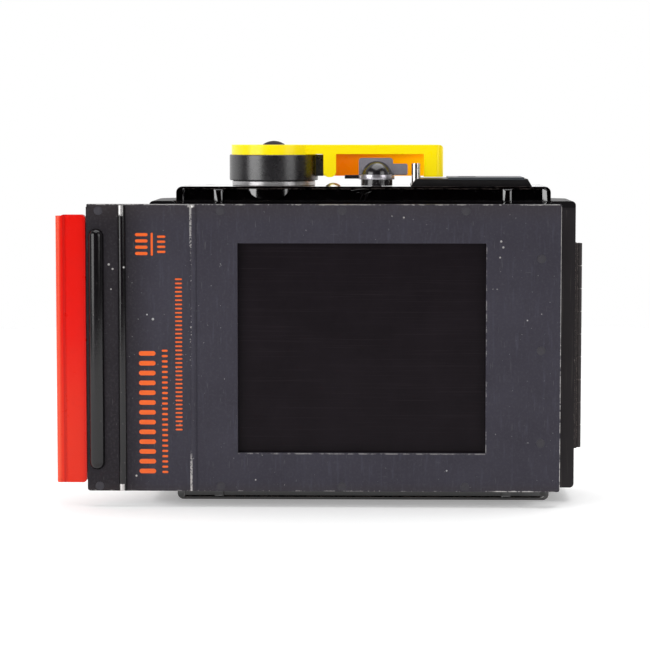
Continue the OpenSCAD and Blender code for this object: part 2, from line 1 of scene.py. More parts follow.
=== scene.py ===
import math

import bmesh
import bpy
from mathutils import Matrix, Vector


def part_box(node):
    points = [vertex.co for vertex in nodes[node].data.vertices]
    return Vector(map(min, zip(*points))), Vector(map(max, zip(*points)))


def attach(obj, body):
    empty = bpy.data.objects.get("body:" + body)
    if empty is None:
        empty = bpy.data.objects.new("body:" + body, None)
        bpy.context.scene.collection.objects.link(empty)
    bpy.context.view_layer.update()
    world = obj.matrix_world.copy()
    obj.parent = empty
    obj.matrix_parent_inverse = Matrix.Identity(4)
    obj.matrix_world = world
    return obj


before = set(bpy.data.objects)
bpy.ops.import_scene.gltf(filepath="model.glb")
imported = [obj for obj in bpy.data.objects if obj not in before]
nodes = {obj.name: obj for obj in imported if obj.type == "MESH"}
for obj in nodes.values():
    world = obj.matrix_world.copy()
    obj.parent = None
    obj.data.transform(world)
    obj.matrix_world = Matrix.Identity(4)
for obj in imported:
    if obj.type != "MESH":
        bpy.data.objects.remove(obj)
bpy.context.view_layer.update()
scene = bpy.context.scene
scene.view_settings.view_transform = "Standard"


def mm(node):
    """The low and high corners of a node's box at rest, in mm."""
    return [v * 1000 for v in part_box(node)]


PLATE_LO, PLATE_HI = mm("front_plate")
SHELL_LO, SHELL_HI = mm("shell_body")
COVER_LO, COVER_HI = mm("top_cover")
LEVER_LO, LEVER_HI = mm("winding_lever")
RESET_LO, RESET_HI = mm("reset_lever")
HANDLE_LO, HANDLE_HI = mm("dark_slide_handle")
# Half the width and half the height of the plate's window
WINDOW_HALF = (35.6, 30.2)


# ---- Node helpers: positions inside a material are in millimetres at rest ----

class Mat:
    def __init__(self, name, color, rough, metal=0.0, **sockets):
        self.m = bpy.data.materials.new(name)
        self.m.use_nodes = True
        self.t = self.m.node_tree
        self.b = self.t.nodes["Principled BSDF"]
        self.b.inputs["Base Color"].default_value = (*color[:3], 1)
        self.b.inputs["Roughness"].default_value = rough
        self.b.inputs["Metallic"].default_value = metal
        for k, v in sockets.items():
            self.b.inputs[k.replace("_", " ")].default_value = v
        tc = self.n("ShaderNodeTexCoord")
        sc = self.n("ShaderNodeVectorMath", operation="SCALE")
        self.t.links.new(tc.outputs["Object"], sc.inputs[0])
        sc.inputs["Scale"].default_value = 1000
        self.p = sc.outputs[0]
        sep = self.n("ShaderNodeSeparateXYZ")
        self.t.links.new(self.p, sep.inputs[0])
        self.x, self.y, self.z = sep.outputs

    def n(self, kind, **attrs):
        node = self.t.nodes.new(kind)
        for k, v in attrs.items():
            setattr(node, k, v)
        return node

    def put(self, socket, v):
        if isinstance(v, bpy.types.NodeSocket):
            self.t.links.new(v, socket)
        elif v is not None:
            socket.default_value = v

    def f(self, op, a, b=None, c=None):
        node = self.n("ShaderNodeMath", operation=op)
        for s, v in zip(node.inputs, (a, b, c)):
            self.put(s, v)
        return node.outputs[0]

    def step(self, v, lo, hi):
        """0 below lo and 1 above hi, or the other way round when lo is the larger."""
        node = self.n("ShaderNodeMapRange", interpolation_type="SMOOTHSTEP")
        self.put(node.inputs[0], v)
        node.inputs[1].default_value, node.inputs[2].default_value = lo, hi
        return node.outputs[0]

    def band(self, v, lo, hi, soft=0.1):
        """1 from lo to hi."""
        return self.f("MULTIPLY", self.step(v, lo - soft, lo + soft),
                      self.step(v, hi + soft, hi - soft))

    def all(self, *v):
        out = v[0]
        for k in v[1:]:
            out = self.f("MULTIPLY", out, k)
        return out

    def any(self, *v):
        out = v[0]
        for k in v[1:]:
            out = self.f("MAXIMUM", out, k)
        return out

    def noise(self, scale, detail=3.0, rough=0.55, stretch=None, seed=0.0):
        node = self.n("ShaderNodeTexNoise")
        vec = self.p
        if stretch or seed:
            mp = self.n("ShaderNodeMapping")
            self.put(mp.inputs[0], vec)
            mp.inputs["Location"].default_value = (seed, seed * 1.7, seed * 0.6)
            mp.inputs["Scale"].default_value = stretch or (1, 1, 1)
            vec = mp.outputs[0]
        self.put(node.inputs["Vector"], vec)
        node.inputs["Scale"].default_value = scale
        node.inputs["Detail"].default_value = detail
        node.inputs["Roughness"].default_value = rough
        return node.outputs[0]

    def dot(self, x, z, r):
        """1 inside a round spot seen from the front."""
        d = self.n("ShaderNodeVectorMath", operation="DISTANCE")
        c = self.n("ShaderNodeCombineXYZ")
        self.put(c.inputs[0], self.x)
        self.put(c.inputs[2], self.z)
        self.put(d.inputs[0], c.outputs[0])
        d.inputs[1].default_value = (x, 0, z)
        return self.step(d.outputs["Value"], r * 1.25, r * 0.75)

    def mix(self, fac, a, b):
        node = self.n("ShaderNodeMix", data_type="RGBA")
        self.put(node.inputs[0], fac)
        for s, v in ((node.inputs[6], a), (node.inputs[7], b)):
            self.put(s, (*v, 1) if isinstance(v, tuple) else v)
        return node.outputs[2]

    def lerp(self, fac, a, b):
        node = self.n("ShaderNodeMix", data_type="FLOAT")
        self.put(node.inputs[0], fac)
        self.put(node.inputs[2], a)
        self.put(node.inputs[3], b)
        return node.outputs[0]

    def edge(self, radius_mm, lo=0.9, hi=0.6):
        """1 on convex and concave edges."""
        bev = self.n("ShaderNodeBevel", samples=6)
        bev.inputs[0].default_value = radius_mm / 1000
        geo = self.n("ShaderNodeNewGeometry")
        d = self.n("ShaderNodeVectorMath", operation="DOT_PRODUCT")
        self.put(d.inputs[0], bev.outputs[0])
        self.put(d.inputs[1], geo.outputs["True Normal"])
        return self.step(d.outputs["Value"], lo, hi)

    def bump(self, height, depth_mm, strength=1.0):
        node = self.n("ShaderNodeBump")
        node.inputs["Strength"].default_value = strength
        node.inputs["Distance"].default_value = depth_mm / 1000
        self.put(node.inputs["Height"], height)
        self.put(self.b.inputs["Normal"], node.outputs[0])

    def color(self, v):
        self.put(self.b.inputs["Base Color"], v)

    def rough(self, v):
        self.put(self.b.inputs["Roughness"], v)

    def metal(self, v):
        self.put(self.b.inputs["Metallic"], v)


STEEL = (0.60, 0.58, 0.57)


def worn(m, paint, mask, rough_paint, rough_metal=0.35, metal=STEEL):
    """Paint over bare metal where mask is 1."""
    m.color(m.mix(mask, paint, metal))
    m.metal(mask)
    m.rough(m.lerp(mask, rough_paint, rough_metal))


# Bare specks on the plate: x, z and radius
SPECKS = (
    (-72.5, 24.1, 0.32), (-71.4, 22.8, 0.28), (-68.1, 23.3, 0.3), (-59.9, 8.4, 0.34),
    (-61.6, 9.7, 0.22), (39.8, 30.8, 0.3), (40.4, 29.1, 0.3), (39.5, 26.2, 0.25),
    (-64.9, -36.9, 0.28), (-71.9, 17.0, 0.2), (-53.2, -5.6, 0.2), (12, 37.6, 0.25),
    (24.5, -35.2, 0.22), (47.4, 8.2, 0.2), (-30.5, -38.0, 0.2))


def plate_tone(m, broad):
    """The plate's paint: bluish and brushed on the right, darker towards the slide's end."""
    fine = m.noise(1.4, 3, 0.6, seed=3)
    slide_end = m.step(m.x, PLATE_LO.x + 21, PLATE_LO.x + 9)
    tone = m.f("MULTIPLY_ADD", m.f("SUBTRACT", broad, 0.5), 0.9, 0.5)
    brushed = m.noise(0.9, 3, 0.6, stretch=(1, 1, 0.12), seed=15)
    right = m.mix(tone, (0.031, 0.028, 0.038), (0.056, 0.053, 0.071))
    right = m.mix(m.f("MULTIPLY", m.step(brushed, 0.52, 0.75), 0.45), right, (0.070, 0.068, 0.092))
    left = m.mix(tone, (0.013, 0.0105, 0.0135), (0.029, 0.025, 0.030))
    paint = m.mix(slide_end, right, left)
    rim = m.any(m.step(m.z, PLATE_HI.z - 6.3, PLATE_HI.z - 0.3),
                m.step(m.z, PLATE_LO.z + 3.3, PLATE_LO.z - 0.2))
    paint = m.mix(m.f("MULTIPLY", rim, 0.35), paint, (0.047, 0.039, 0.038))
    paint = m.mix(m.f("MULTIPLY", m.step(fine, 0.45, 0.75), 0.22), paint, (0.085, 0.082, 0.092))
    blots = m.step(m.noise(0.35, 5, 0.7, seed=9), 0.56, 0.7)
    paint = m.mix(m.f("MULTIPLY", blots, 0.25), paint, (0.030, 0.029, 0.036))
    upright = m.step(m.noise(0.5, 2, 0.5, stretch=(5, 1, 0.35), seed=21), 0.70, 0.735)
    level = m.step(m.noise(0.5, 2, 0.5, stretch=(0.4, 1, 6), seed=40), 0.71, 0.745)
    return m.mix(m.f("MULTIPLY", m.any(upright, level), 0.35), paint, (0.13, 0.125, 0.13))


def plate_wear(m):
    """Where the plate is bare: its edges, the ribs, the window's rim, specks and dust; along the
    window's bottom and right edges the bare steel is also a painted highlight.
    """
    left, right, bottom, top = PLATE_LO.x, PLATE_HI.x, PLATE_LO.z, PLATE_HI.z
    rib_1, rib_2 = left + 9.4, left + 29.7
    ragged = m.noise(0.55, 4, 0.7, seed=5)
    speck = m.noise(2.2, 2, 0.5, seed=12)

    def torn(axis, depth):
        return m.f("MULTIPLY_ADD", ragged, depth, axis)

    front = m.step(m.y, 1.0, 0.6)
    rubbed = m.step(torn(m.y, 1.4), 1.25, 0.85)
    dashes_along = m.noise(0.22, 4, 0.8, stretch=(1, 0, 0), seed=2)
    broken = m.step(m.f("ADD", dashes_along, m.f("MULTIPLY", ragged, 0.45)), 0.70, 0.77)
    between_ribs = m.band(m.x, left + 17.5, left + 28.5, 1)
    top_edge = m.all(m.step(torn(m.z, 0.9), top + 0.25, top + 0.45), front,
                     m.any(between_ribs, m.band(m.x, right - 6.7, right + 0.2, 0.6),
                           m.f("MULTIPLY", broken, 0.8)))
    top_face = m.all(m.step(m.z, top - 0.18, top - 0.1), rubbed, 0.7,
                     m.any(between_ribs, m.band(m.x, right - 6.5, right + 0.2, 1), broken))
    right_edge = m.all(m.step(torn(m.x, 0.25), right - 0.08, right + 0.05), rubbed,
                       m.any(m.step(m.z, -8, 12), m.step(ragged, 0.42, 0.55)))
    bottom_edge = m.all(m.step(torn(m.z, -0.9), bottom - 0.15, bottom - 0.4), front,
                        m.any(m.band(m.x, right - 19, right - 7, 1.2),
                              m.all(m.step(broken, 0.8, 1.0), 0.3)),
                        m.step(ragged, 0.42, 0.5))
    rib_1_ends = m.all(m.band(m.x, rib_1, rib_1 + 1.3, 0.15),
                       m.any(m.step(torn(m.z, 3), top - 1.7, top - 1.1),
                             m.step(torn(m.z, -3), bottom + 0.7, bottom + 0.3)))
    rib_2_line = m.all(m.band(m.x, rib_2, rib_2 + 0.55, 0.12), m.any(
        m.all(m.step(m.z, 25, 31), m.step(m.f("MULTIPLY_ADD", m.z, 0.012, speck), 0.86, 0.93)),
        m.all(m.step(m.z, -29, -34), m.step(speck, 0.40, 0.48)),
        m.all(m.step(speck, 0.63, 0.66), m.band(m.z, -6, 40, 3))))
    rib_2_top = m.all(m.band(m.x, rib_2 - 0.5, rib_2 + 1.4, 0.25),
                      m.step(torn(m.z, 1.2), top - 0.4, top))
    half_w, half_h = WINDOW_HALF
    # bare steel along the window's bottom and right edges: partly wear, partly a painted highlight where
    # these edges catch the light
    sill_wear_and_highlight = m.all(m.band(m.z, -half_h - 0.35, -half_h, 0.1),
                 m.step(m.f("ABSOLUTE", m.x), half_w, half_w - 0.2),
                 m.step(ragged, 0.42, 0.6), 0.35)
    jamb_wear_and_highlight = m.all(m.band(m.x, half_w, half_w + 0.25, 0.08),
                 m.step(m.f("ABSOLUTE", m.z), half_h, half_h - 0.2),
                 m.step(ragged, 0.5, 0.6), 0.35)
    specks = m.all(m.any(*[m.dot(x, z, r) for x, z, r in SPECKS]), 0.8)
    on_face = m.all(m.any(rib_1_ends, rib_2_line, rib_2_top, sill_wear_and_highlight, jamb_wear_and_highlight, specks), front)
    dust = m.all(m.step(m.noise(1.1, 2, 0.6, seed=60), 0.735, 0.76), 0.34)
    return m.any(top_edge, top_face, right_edge, bottom_edge, on_face, dust)


def plate_paint():
    matte, gloss = 0.12, 0.45
    m = Mat("black_paint_plate", (0.045, 0.043, 0.053), 0.5)
    broad = m.noise(0.05, 4, 0.6)
    # the bead and the first rib stand proud of the face and are rubbed to a gloss
    polish = m.all(m.step(m.y, -0.05, -0.2), m.step(m.x, PLATE_LO.x + 24, PLATE_LO.x + 21))
    paint = m.mix(polish, plate_tone(m, broad), (0.006, 0.005, 0.006))
    m.put(m.b.inputs["Specular IOR Level"], m.lerp(polish, matte, gloss))
    worn(m, paint, plate_wear(m), m.lerp(polish, m.lerp(broad, 0.42, 0.55), 0.1), 0.38)
    grain = m.f("ADD", m.noise(5, 3, 0.6), m.f("MULTIPLY", m.noise(0.9, 2), 0.6))
    m.bump(m.f("MULTIPLY", grain, m.lerp(polish, 1, 0.25)), 0.035, 0.55)
    return m.m


def rivet_paint():
    m = Mat("black_paint_rivets", (0.05, 0.047, 0.056), 0.42, Specular_IOR_Level=0.15)
    m.color(m.mix(m.noise(1.2), (0.040, 0.038, 0.047), (0.066, 0.062, 0.070)))
    m.bump(m.noise(3), 0.04, 0.6)
    return m.m


def casting_paint():
    m = Mat("black_paint_casting", (0.03, 0.027, 0.028), 0.45, Specular_IOR_Level=0.2)
    broad = m.noise(0.09, 4, 0.6)
    paint = m.mix(broad, (0.012, 0.010, 0.012), (0.030, 0.026, 0.029))
    streak = m.step(m.noise(0.8, 2, 0.5, stretch=(3, 3, 0.05), seed=8), 0.6, 0.72)
    end = m.all(m.step(m.x, SHELL_HI.x - 6, SHELL_HI.x - 4),
                m.step(m.z, SHELL_HI.z - 2.3, SHELL_HI.z - 3))
    paint = m.mix(m.all(streak, end, 0.5), paint, (0.13, 0.11, 0.10))
    paint = m.mix(m.all(end, 0.5), paint, (0.030, 0.025, 0.027))
    rim = m.all(m.step(m.z, SHELL_HI.z - 2, SHELL_HI.z - 1.8),
                m.step(m.y, SHELL_LO.y + 4.1, SHELL_LO.y + 3.1))
    paint = m.mix(rim, paint, (0.004, 0.003, 0.004))
    wear = m.all(m.edge(0.5, 0.93, 0.75), m.step(m.noise(0.45, 4, 0.7, seed=4), 0.56, 0.66), 0.8)
    worn(m, paint, wear, m.lerp(broad, 0.33, 0.5), 0.4, (0.42, 0.36, 0.33))
    m.bump(m.noise(2.6, 4, 0.65), 0.05, 0.5)
    return m.m


def gloss_black():
    m = Mat("black_paint_gloss", (0.001, 0.001, 0.001), 0.16, Specular_IOR_Level=1.0,
            Coat_Weight=0.9, Coat_Roughness=0.06)
    n = m.noise(0.3, 4, 0.6)
    pocket = m.all(m.step(m.f("ABSOLUTE", m.z), COVER_HI.z - 0.8, COVER_HI.z - 0.95),
                   m.step(m.y, COVER_LO.y + 0.1, COVER_LO.y + 0.2))
    # lighter brownish paint along the covers' edges, broken by noise: wear, and along the front rim also
    # a painted highlight
    wear = m.all(m.edge(0.4, 0.95, 0.75), m.step(m.noise(0.6, 4, 0.7, seed=7), 0.42, 0.56),
                 m.f("SUBTRACT", 1, pocket), 0.9)
    paint = m.mix(n, (0.0007, 0.0005, 0.0007), (0.0028, 0.002, 0.0024))
    m.color(m.mix(wear, paint, (0.20, 0.16, 0.145)))
    m.rough(m.lerp(m.f("MAXIMUM", wear, m.step(n, 0.5, 0.8)), 0.08, 0.24))
    m.bump(m.noise(0.8, 3, 0.5), 0.02, 0.35)
    return m.m


def housing_black():
    m = Mat("black_plastic_housing", (0.013, 0.013, 0.014), 0.33, Specular_IOR_Level=0.3)
    n = m.noise(0.5, 4, 0.6)
    m.color(m.mix(n, (0.006, 0.0055, 0.006), (0.018, 0.016, 0.017)))
    m.rough(m.lerp(n, 0.25, 0.45))
    m.bump(m.noise(4, 3, 0.6), 0.03, 0.4)
    return m.m


def grey_enamel():
    m = Mat("grey_enamel_plate", (0.06, 0.066, 0.078), 0.35, Specular_IOR_Level=0.3)
    n = m.noise(0.4, 4, 0.6)
    m.color(m.mix(n, (0.05, 0.056, 0.066), (0.085, 0.092, 0.105)))
    m.rough(m.lerp(n, 0.3, 0.45))
    m.bump(m.noise(5, 2, 0.6), 0.02, 0.4)
    return m.m


def satin_nickel():
    m = Mat("satin_nickel_ring", (0.6, 0.58, 0.58), 0.3, 0.35, Specular_IOR_Level=0.8)
    lines = m.noise(1.6, 3, 0.6, stretch=(0.1, 0.1, 5))
    m.color(m.mix(lines, (0.30, 0.29, 0.30), (0.80, 0.78, 0.78)))
    m.rough(m.lerp(m.step(m.noise(2, 4, 0.7), 0.5, 0.75), 0.22, 0.42))
    m.bump(lines, 0.02, 0.5)
    return m.m


def drum_black():
    m = Mat("black_satin_drum", (0.018, 0.017, 0.019), 0.3, Specular_IOR_Level=1.0)
    n = m.noise(0.35, 4, 0.6)
    m.color(m.mix(n, (0.006, 0.005, 0.0065), (0.013, 0.011, 0.014)))
    m.rough(m.lerp(n, 0.22, 0.32))
    m.bump(m.noise(1.5, 3, 0.6, stretch=(0.6, 0.6, 8)), 0.012, 0.5)
    return m.m


def yellow_plastic():
    m = Mat("yellow_plastic", (1.0, 0.84, 0.001), 0.3, Specular_IOR_Level=0.4,
            Subsurface_Weight=0.1, Subsurface_Scale=0.001, Subsurface_Radius=(1.0, 0.45, 0.02))
    n = m.noise(0.25, 4, 0.6)
    grime = m.all(m.step(m.noise(0.8, 4, 0.7, seed=14), 0.62, 0.8), 0.25)
    c = m.mix(n, (1.0, 0.84, 0.001), (1.0, 0.78, 0.001))
    c = m.mix(grime, c, (0.85, 0.50, 0.004))
    # painted glow: the inside of the arm is painted orange and made to emit light, more so lower down
    # and towards the end, standing in for light through the walls
    hub_y = (LEVER_LO.y + LEVER_HI.y) / 2
    arm = (LEVER_HI.x - 32.8, LEVER_HI.x - 5.6)
    ceiling = LEVER_HI.z - 2.7
    inside = m.all(m.band(m.x, *arm, 0.3), m.step(m.z, ceiling + 0.2, ceiling - 0.2),
                   m.band(m.y, hub_y - 3.7, hub_y + 3.8, 0.4))
    toward_end = m.step(m.x, arm[0] + 1, arm[1] - 0.2)
    m.color(m.mix(inside, c, m.mix(toward_end, (0.95, 0.30, 0.0), (1.0, 0.55, 0.0))))
    painted_glow_colour = m.mix(toward_end, (1.0, 0.20, 0.0), (1.0, 0.46, 0.0))
    m.put(m.b.inputs["Emission Color"], m.mix(inside, (1.0, 0.72, 0.0), painted_glow_colour))
    painted_glow_fade = m.lerp(m.step(m.z, ceiling - 0.1, ceiling - 2.2), 0.45, 1.0)
    # painted glow: the whole lever emits faintly in yellow, and more strongly inside the arm
    m.put(m.b.inputs["Emission Strength"],
          m.lerp(inside, 0.27, m.all(painted_glow_fade, m.lerp(toward_end, 0.45, 0.62))))
    m.rough(m.lerp(n, 0.22, 0.36))
    m.bump(m.noise(1.6, 3, 0.5), 0.02, 0.35)
    return m.m


def lever_enamel():
    """Black enamel on the dome, rubbed to grey on the finger plate behind it."""
    m = Mat("black_enamel_lever", (0.02, 0.018, 0.02), 0.2, Specular_IOR_Level=0.8, Coat_Weight=0.3)
    n = m.noise(0.7, 4, 0.6)
    top = RESET_HI.z
    mid_y = (RESET_LO.y + RESET_HI.y) / 2
    plate = m.all(m.step(m.z, top - 4.9, top - 4.7), m.step(m.y, mid_y - 0.75, mid_y - 0.8),
                  m.step(m.y, mid_y - 1.1, mid_y - 1))
    flange = m.all(m.band(m.z, top - 6.25, top - 4.95, 0.1),
                   m.step(m.x, RESET_LO.x + 4.1, RESET_LO.x + 4.2))
    edges = m.all(m.edge(0.45, 0.95, 0.6), m.step(m.noise(0.9, 3, 0.7, seed=3), 0.36, 0.5), 0.6)
    bare = m.any(edges, m.all(flange, m.lerp(n, 0.75, 1.0)))
    paint = m.mix(n, (0.006, 0.005, 0.006), (0.022, 0.018, 0.021))
    paint = m.mix(m.all(plate, m.lerp(n, 0.7, 1.0)), paint, (0.34, 0.32, 0.36))
    worn(m, paint, bare, m.lerp(n, 0.14, 0.3), 0.3, (0.66, 0.63, 0.68))
    m.bump(m.noise(2.5, 3, 0.5), 0.015, 0.4)
    return m.m


def screw_enamel():
    m = Mat("black_enamel_screw", (0.012, 0.009, 0.012), 0.6, Specular_IOR_Level=0.1)
    n = m.noise(0.9, 4, 0.65)
    m.color(m.mix(n, (0.010, 0.007, 0.010), (0.050, 0.038, 0.046)))
    m.rough(m.lerp(n, 0.45, 0.7))
    m.bump(m.noise(2.5, 3, 0.6), 0.03, 0.5)
    return m.m


def slide_black():
    m = Mat("black_lacquer_slide", (0.013, 0.010, 0.012), 0.34, Specular_IOR_Level=0.1)
    lines = m.noise(1.0, 3, 0.6, stretch=(0.03, 1, 5), seed=2)
    n = m.noise(0.08, 4, 0.6)
    c = m.mix(n, (0.0045, 0.0028, 0.0042), (0.012, 0.0085, 0.0115))
    m.color(m.mix(m.all(m.step(lines, 0.55, 0.75), 0.5), c, (0.026, 0.020, 0.024)))
    m.rough(m.lerp(lines, 0.30, 0.46))
    m.bump(lines, 0.012, 0.5)
    return m.m


def red_paint():
    m = Mat("red_paint_handle", (0.78, 0.018, 0.008), 0.28, Specular_IOR_Level=0.2,
            Coat_Weight=0.08, Coat_Roughness=0.12)
    n = m.noise(0.3, 4, 0.6)
    # painted reflection: the red turns a little more orange lower down the handle
    painted_reflection_height = m.f("MULTIPLY_ADD", m.noise(0.12, 2), 14, m.z)
    c = m.mix(m.step(painted_reflection_height, 18, -22), (0.80, 0.006, 0.002), (0.78, 0.026, 0.008))
    outer, inner = HANDLE_LO.x, HANDLE_HI.x
    # painted highlight along the rolled lip, painted shade in the crease beside it, and painted shade
    # towards the inner edge
    c = m.mix(m.all(m.step(m.x, outer + 1.8, outer + 0.8), 0.9), c, (0.86, 0.085, 0.035))
    c = m.mix(m.all(m.band(m.x, outer + 2.1, outer + 2.7, 0.2), 0.6), c, (0.45, 0.006, 0.004))
    c = m.mix(m.all(m.step(m.x, inner - 2.2, inner + 0.3), 0.5), c, (0.70, 0.004, 0.002))
    chips = m.all(m.edge(0.35, 0.9, 0.6), m.step(m.noise(1.3, 4, 0.7, seed=5), 0.66, 0.7))
    c = m.mix(m.all(m.step(n, 0.55, 0.8), 0.2), c, (0.62, 0.01, 0.006))
    worn(m, c, chips, m.lerp(n, 0.22, 0.38), 0.4)
    m.bump(m.noise(1.2, 3, 0.5), 0.02, 0.4)
    return m.m


def brown_steel():
    m = Mat("browned_steel_hinge", (0.16, 0.14, 0.13), 0.45, 0.3, Specular_IOR_Level=0.2)
    n = m.noise(0.8, 4, 0.65)
    paint = m.mix(n, (0.026, 0.022, 0.023), (0.062, 0.054, 0.054))
    wear = m.all(m.edge(0.3, 0.95, 0.8), m.step(m.noise(0.9, 3, 0.7, seed=9), 0.42, 0.6), 0.7)
    m.color(m.mix(wear, paint, (0.52, 0.40, 0.37)))
    m.rough(m.lerp(wear, m.lerp(n, 0.38, 0.6), 0.35))
    m.bump(m.noise(1.8, 4, 0.6), 0.03, 0.5)
    return m.m


def turned(name, color, rough=0.28, stretch=(1, 1, 8), scale=1.2):
    m = Mat(name, color, rough, 1.0)
    n = m.noise(0.7, 4, 0.6)
    dark = tuple(v * 0.68 for v in color)
    m.color(m.mix(m.step(n, 0.4, 0.75), color, dark))
    m.rough(m.lerp(n, rough - 0.06, rough + 0.14))
    m.bump(m.noise(scale, 3, 0.6, stretch=stretch), 0.015, 0.5)
    return m.m


def felt():
    m = Mat("felt_black", (0.012, 0.012, 0.013), 0.95, Sheen_Weight=0.35)
    n = m.noise(3.5, 5, 0.75)
    m.color(m.mix(n, (0.006, 0.006, 0.006), (0.030, 0.029, 0.030)))
    m.bump(n, 0.25, 0.9)
    return m.m


def leatherette():
    m = Mat("leatherette_black", (0.022, 0.021, 0.022), 0.52, Specular_IOR_Level=0.4)
    v = m.n("ShaderNodeTexVoronoi", feature="F1")
    m.put(v.inputs["Vector"], m.p)
    v.inputs["Scale"].default_value = 0.95
    w = m.n("ShaderNodeTexVoronoi", feature="DISTANCE_TO_EDGE")
    m.put(w.inputs["Vector"], m.p)
    w.inputs["Scale"].default_value = 0.95
    cells = m.step(w.outputs["Distance"], 0.0, 0.22)
    n = m.noise(0.6, 4, 0.6)
    m.color(m.mix(cells, (0.007, 0.007, 0.007), m.mix(n, (0.020, 0.019, 0.020), (0.034, 0.032, 0.033))))
    m.rough(m.lerp(cells, 0.75, 0.48))
    m.bump(m.f("ADD", m.f("MULTIPLY", cells, 1.0), m.f("MULTIPLY", m.noise(3, 3), 0.25)), 0.16, 0.8)
    return m.m


def clear():
    m = Mat("clear_window", (0.92, 0.95, 0.96), 0.05, Transmission_Weight=1.0, IOR=1.45)
    m.rough(m.lerp(m.step(m.noise(1.5, 3, 0.6), 0.5, 0.8), 0.03, 0.18))
    return m.m


def dial_white():
    m = Mat("dial_white", (0.78, 0.77, 0.72), 0.5)
    m.color(m.mix(m.noise(0.5, 4, 0.6), (0.80, 0.79, 0.74), (0.68, 0.66, 0.60)))
    m.bump(m.noise(3, 3), 0.01, 0.4)
    return m.m


def ink(name, lo, hi, gaps=0.62):
    """Printed ink, thin in places."""
    m = Mat(name, lo, 0.42)
    n = m.noise(1.6, 4, 0.65, seed=6)
    m.color(m.mix(m.step(n, gaps, gaps + 0.2), m.mix(m.noise(0.4), lo, hi), tuple(v * 0.55 for v in lo)))
    m.bump(m.noise(4, 3), 0.02, 0.4)
    return m.m


PLATE, CAST, GLOSS = plate_paint(), casting_paint(), gloss_black()
KNOB = lever_enamel()
BRIGHT = turned("bright_steel_turned", (0.60, 0.60, 0.61))
BRASS = turned("brass_cut", (0.72, 0.50, 0.19), 0.3, (1, 1, 5))
SPRING = turned("spring_steel_wire", (0.42, 0.42, 0.44), 0.3, (1, 1, 1), 3)
HINGE, FELT, SLIDE, HOUSING = brown_steel(), felt(), slide_black(), housing_black()
DOME = screw_enamel()

# ---- CAD nodes: material and bevel width in mm ----

FINISH = {
    "front_plate": (PLATE, 0.14), "plate_rivets": (rivet_paint(), 0.05),
    "slide_channel": (PLATE, 0.1), "gate_plate": (PLATE, 0.12), "film_rails": (BRIGHT, 0.08),
    "light_trap_felt": (FELT, 0.2), "light_trap_cover": (PLATE, 0.12),
    "trap_cover_screws": (BRIGHT, 0.06), "front_frame": (CAST, 0.3), "light_seal": (FELT, 0),
    "latch_keeper": (BRIGHT, 0.15), "hinge_leaf_front": (HINGE, 0.08), "hinge_pin": (HINGE, 0.06),
    "dark_slide_sheet": (SLIDE, 0.08), "dark_slide_handle": (red_paint(), 0.35),
    "shell_body": (CAST, 0.35), "back_panel": (leatherette(), 0.15), "top_cover": (GLOSS, 0.3),
    "bottom_cover": (GLOSS, 0.3), "cover_screws": (BRIGHT, 0.06), "hinge_leaf_rear": (HINGE, 0.08),
    "hub_washer": (satin_nickel(), 0.2), "counter_housing": (HOUSING, 0.15),
    "counter_plate": (grey_enamel(), 0.1), "counter_window": (clear(), 0),
    "stop_pin": (turned("chrome_pin", (0.74, 0.72, 0.70), 0.16), 0.2), "gear_posts": (BRIGHT, 0.1),
    "chassis_top": (PLATE, 0.12), "chassis_bottom": (PLATE, 0.12), "chassis_bridge": (PLATE, 0.12),
    "latch_screws": (BRIGHT, 0.08), "return_spring": (SPRING, 0), "pressure_springs": (SPRING, 0),
    "supply_spring_top": (SPRING, 0), "supply_spring_bottom": (SPRING, 0),
    "takeup_spring": (SPRING, 0), "winding_lever": (yellow_plastic(), 0.45),
    "lever_drum": (drum_black(), 0.3), "lever_screw": (DOME, 0.15), "winding_shaft": (BRIGHT, 0.1),
    "winding_gear": (BRASS, 0), "takeup_idler": (BRASS, 0), "takeup_gear": (BRASS, 0),
    "takeup_shaft": (BRIGHT, 0.1), "takeup_spool": (HOUSING, 0.2), "counter_idler_1": (BRASS, 0),
    "counter_idler_2": (BRASS, 0), "counter_gear": (BRASS, 0), "counter_dial": (dial_white(), 0),
    "reset_lever": (KNOB, 0.2), "latch_bar": (BRIGHT, 0.15), "pressure_plate": (SLIDE, 0.2),
    "pressure_guides": (BRIGHT, 0.1), "guide_roller_left": (BRIGHT, 0.2),
    "guide_roller_right": (BRIGHT, 0.2), "supply_pin_top": (BRIGHT, 0.2),
    "supply_pin_bottom": (BRIGHT, 0.2), "takeup_pin": (BRIGHT, 0.2),
}
for name, (mat, width) in FINISH.items():
    o = nodes[name]
    for s in o.material_slots:
        s.material = mat
    if width:
        weld = o.modifiers.new("weld", "WELD")
        weld.merge_threshold = 1e-6
        bev = o.modifiers.new("bevel", "BEVEL")
        bev.width = width / 1000
        bev.segments = 3
        bev.limit_method = "ANGLE"
        bev.angle_limit = math.radians(38)
        bev.miter_outer = "MITER_ARC"
        bev.use_clamp_overlap = True
        wn = o.modifiers.new("normals", "WEIGHTED_NORMAL")
        wn.keep_sharp = False


# ---- Printed marks: plain dashes stand in the places of the print on the plate ----

def outline(text):
    """The flat outline of a dial number, as (points, faces)."""
    cu = bpy.data.curves.new("number", "FONT")
    cu.body = text
    cu.offset = 0.02
    cu.fill_mode = "FRONT"
    cu.resolution_u = 3
    o = bpy.data.objects.new("number", cu)
    scene.collection.objects.link(o)
    dg = bpy.context.evaluated_depsgraph_get()
    me = bpy.data.meshes.new_from_object(o.evaluated_get(dg))
    points = [v.co.xy.copy() for v in me.vertices]
    faces = [tuple(p.vertices) for p in me.polygons]
    bpy.data.objects.remove(o)
    bpy.data.meshes.remove(me)
    return points, faces


